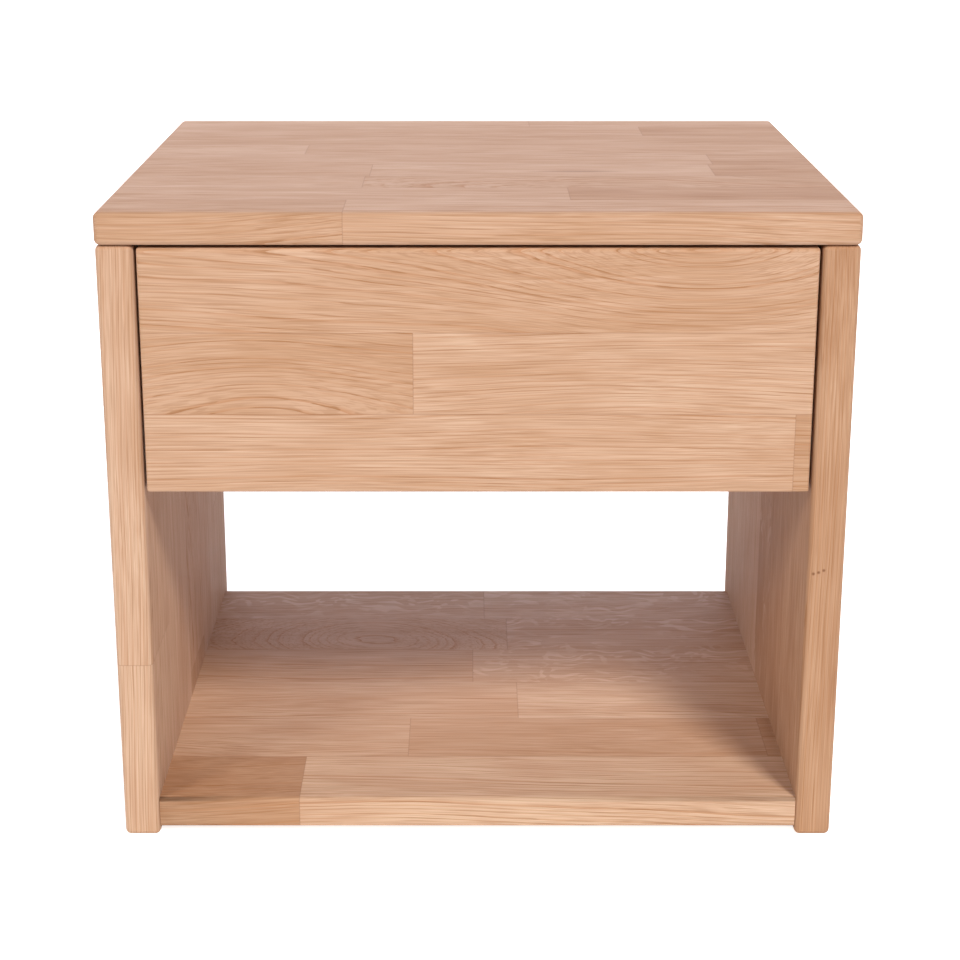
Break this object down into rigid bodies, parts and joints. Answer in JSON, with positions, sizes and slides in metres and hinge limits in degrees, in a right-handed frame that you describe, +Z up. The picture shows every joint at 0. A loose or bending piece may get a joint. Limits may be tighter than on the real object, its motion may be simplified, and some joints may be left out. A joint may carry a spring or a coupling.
{
  "type": "nightstand with drawer",
  "caption": "Solid oak nightstand with an inset handle-less drawer on ball-bearing slides above an open compartment with a bottom shelf.",
  "frame": {"origin": "on the floor, under the middle of the top panel", "axes": "+X to the right seen from the front, the drawer opens towards -Y, +Z up"},
  "size_m": [0.5, 0.4, 0.45],
  "materials": {
    "oiled_oak": "oiled, matte",
    "oak_plywood": "sanded, clear lacquer",
    "beech": "raw, grooved",
    "die_cast_zinc": "die-cast, dull",
    "zinc_plated_steel": "zinc plated",
    "slide_steel": "zinc-plated sheet",
    "ball_steel": "polished"
  },
  "bodies": {
    "carcass": {"top_panel": "oiled_oak", "left_side_panel": "oiled_oak", "right_side_panel": "oiled_oak", "bottom_shelf": "oiled_oak", "back_rail": "oiled_oak", "top_dowels": "beech", "top_cam_bolts": "zinc_plated_steel", "top_cam_discs": "die_cast_zinc", "shelf_dowels": "beech", "shelf_cam_bolts": "zinc_plated_steel", "shelf_cam_discs": "die_cast_zinc", "rail_dowels": "beech", "rail_cam_bolts": "zinc_plated_steel", "rail_cam_discs": "die_cast_zinc", "left_cabinet_rail": "slide_steel", "right_cabinet_rail": "slide_steel", "slide_cabinet_screws": "zinc_plated_steel"},
    "drawer": {"left_drawer_rail": "slide_steel", "right_drawer_rail": "slide_steel", "slide_drawer_screws": "zinc_plated_steel", "drawer_front": "oiled_oak", "drawer_inner_front": "oiled_oak", "drawer_left_side": "oiled_oak", "drawer_right_side": "oiled_oak", "drawer_back": "oiled_oak", "drawer_bottom": "oak_plywood", "drawer_front_screws": "zinc_plated_steel"},
    "left_middle_rail_body": {"left_middle_rail": "slide_steel"},
    "left_outer_cage_body": {"left_outer_ball_cage": "slide_steel", "left_outer_balls": "ball_steel"},
    "left_inner_cage_body": {"left_inner_ball_cage": "slide_steel", "left_inner_balls": "ball_steel"},
    "right_middle_rail_body": {"right_middle_rail": "slide_steel"},
    "right_outer_cage_body": {"right_outer_ball_cage": "slide_steel", "right_outer_balls": "ball_steel"},
    "right_inner_cage_body": {"right_inner_ball_cage": "slide_steel", "right_inner_balls": "ball_steel"}
  },
  "joints": [
    {"name": "drawer_slide", "type": "slide", "parent": "carcass", "child": "drawer", "axis": [0, -1, 0], "range_m": [0, 0.33]},
    {"name": "left_middle_rail_slide", "type": "slide", "parent": "carcass", "child": "left_middle_rail_body", "axis": [0, -1, 0], "range_m": [0, 0.165]},
    {"name": "left_outer_cage_slide", "type": "slide", "parent": "carcass", "child": "left_outer_cage_body", "axis": [0, -1, 0], "range_m": [0, 0.0825]},
    {"name": "left_inner_cage_slide", "type": "slide", "parent": "carcass", "child": "left_inner_cage_body", "axis": [0, -1, 0], "range_m": [0, 0.2475]},
    {"name": "right_middle_rail_slide", "type": "slide", "parent": "carcass", "child": "right_middle_rail_body", "axis": [0, -1, 0], "range_m": [0, 0.165]},
    {"name": "right_outer_cage_slide", "type": "slide", "parent": "carcass", "child": "right_outer_cage_body", "axis": [0, -1, 0], "range_m": [0, 0.0825]},
    {"name": "right_inner_cage_slide", "type": "slide", "parent": "carcass", "child": "right_inner_cage_body", "axis": [0, -1, 0], "range_m": [0, 0.2475]}
  ],
  "couplings": [
    {"joint": "left_middle_rail_slide", "follows": "drawer_slide", "ratio": 0.5},
    {"joint": "left_outer_cage_slide", "follows": "drawer_slide", "ratio": 0.25},
    {"joint": "left_inner_cage_slide", "follows": "drawer_slide", "ratio": 0.75},
    {"joint": "right_middle_rail_slide", "follows": "drawer_slide", "ratio": 0.5},
    {"joint": "right_outer_cage_slide", "follows": "drawer_slide", "ratio": 0.25},
    {"joint": "right_inner_cage_slide", "follows": "drawer_slide", "ratio": 0.75}
  ]
}
